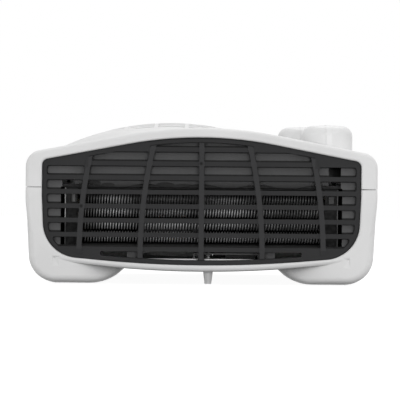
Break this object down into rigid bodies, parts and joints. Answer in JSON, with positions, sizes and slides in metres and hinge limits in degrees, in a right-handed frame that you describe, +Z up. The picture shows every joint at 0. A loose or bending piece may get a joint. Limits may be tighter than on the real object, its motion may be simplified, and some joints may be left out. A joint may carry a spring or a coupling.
{
  "type": "fan heater",
  "caption": "Low arched electric fan heater on two runner feet, with a wide slatted outlet over wound heating coils, a domed air intake, two turning knobs and a tip-over plunger.",
  "frame": {"origin": "on the floor under the middle of the casing's box", "axes": "+X to the right as seen from the hot-air side, -Y towards the hot-air side, +Z up"},
  "size_m": [0.26, 0.2, 0.1253],
  "materials": {
    "white_moulding": "satin",
    "white_knob": "satin",
    "white_intake": "satin",
    "charcoal_moulding": "fine matt grain",
    "duct_sheet": "heat-dulled",
    "mica_board": "matt",
    "heating_wire": "oxidised",
    "brass_terminal": "plain",
    "zinc_plate": "zinc plated",
    "bright_steel": "bright",
    "lamination_steel": "oiled",
    "rotor_aluminium": "cast",
    "sintered_bronze": "sintered",
    "winding_varnish": "varnished",
    "fan_plastic": "matt",
    "switch_plastic": "matt",
    "white_plunger": "satin",
    "steatite": "unglazed",
    "natural_nylon": "satin",
    "black_nylon": "satin"
  },
  "bodies": {
    "heater": {"upper_casing": "white_moulding", "lower_casing": "white_moulding", "intake_grille": "white_intake", "outlet_grille": "charcoal_moulding", "air_duct": "duct_sheet", "duct_cover": "duct_sheet", "mica_base": "mica_board", "mica_top": "mica_board", "mica_end_panels": "mica_board", "mica_supports": "mica_board", "heating_coil_1": "heating_wire", "heating_coil_2": "heating_wire", "heating_coil_3": "heating_wire", "heating_coil_4": "heating_wire", "element_terminals": "brass_terminal", "selector_terminals": "brass_terminal", "terminal_screws": "brass_terminal", "element_side_plates": "zinc_plate", "motor_base": "zinc_plate", "motor_yoke": "zinc_plate", "control_nuts": "zinc_plate", "casing_screws": "bright_steel", "motor_screws": "bright_steel", "tip_spring": "bright_steel", "thermal_cutout": "bright_steel", "thermostat_bimetal": "bright_steel", "motor_stack": "lamination_steel", "motor_bushes": "sintered_bronze", "motor_winding": "winding_varnish", "selector_switch": "switch_plastic", "microswitch": "switch_plastic", "switch_bracket": "switch_plastic", "thermal_fuse": "switch_plastic", "thermostat_base": "steatite", "terminal_block": "natural_nylon", "cord_gland": "black_nylon", "gland_nut": "black_nylon"},
    "fan": {"fan_impeller": "fan_plastic", "fan_shaft": "bright_steel", "motor_rotor": "rotor_aluminium"},
    "selector_dial": {"selector_knob": "white_knob", "selector_spindle": "bright_steel"},
    "thermostat_dial": {"thermostat_knob": "white_knob", "thermostat_spindle": "bright_steel"},
    "plunger": {"tip_plunger": "white_plunger"},
    "lever": {"switch_lever": "bright_steel"}
  },
  "joints": [
    {"name": "fan_spin", "type": "hinge", "parent": "heater", "child": "fan", "pos_m": [-0.024, 0.01, 0.0405], "axis": [0, 0, 1], "continuous": true},
    {"name": "selector_turn", "type": "hinge", "parent": "heater", "child": "selector_dial", "pos_m": [0.097, -0.04, 0.1029], "axis": [0, 0, 1], "range_deg": [-135, 0]},
    {"name": "thermostat_turn", "type": "hinge", "parent": "heater", "child": "thermostat_dial", "pos_m": [0.082, 0.025, 0.1045], "axis": [0, 0, 1], "range_deg": [-135, 135]},
    {"name": "plunger_slide", "type": "slide", "parent": "heater", "child": "plunger", "axis": [0, 0, -1], "range_m": [0, 0.004], "stiffness_N_per_m": 100, "springref_m": 0.01, "deforming": ["tip_spring"]},
    {"name": "lever_tilt", "type": "hinge", "parent": "heater", "child": "lever", "pos_m": [0.0395, -0.07, 0.0195], "axis": [0, -1, 0], "range_deg": [0, 8.7]}
  ],
  "couplings": [
    {"joint": "lever_tilt", "follows": "plunger_slide", "rad_per_m": 37.5}
  ]
}
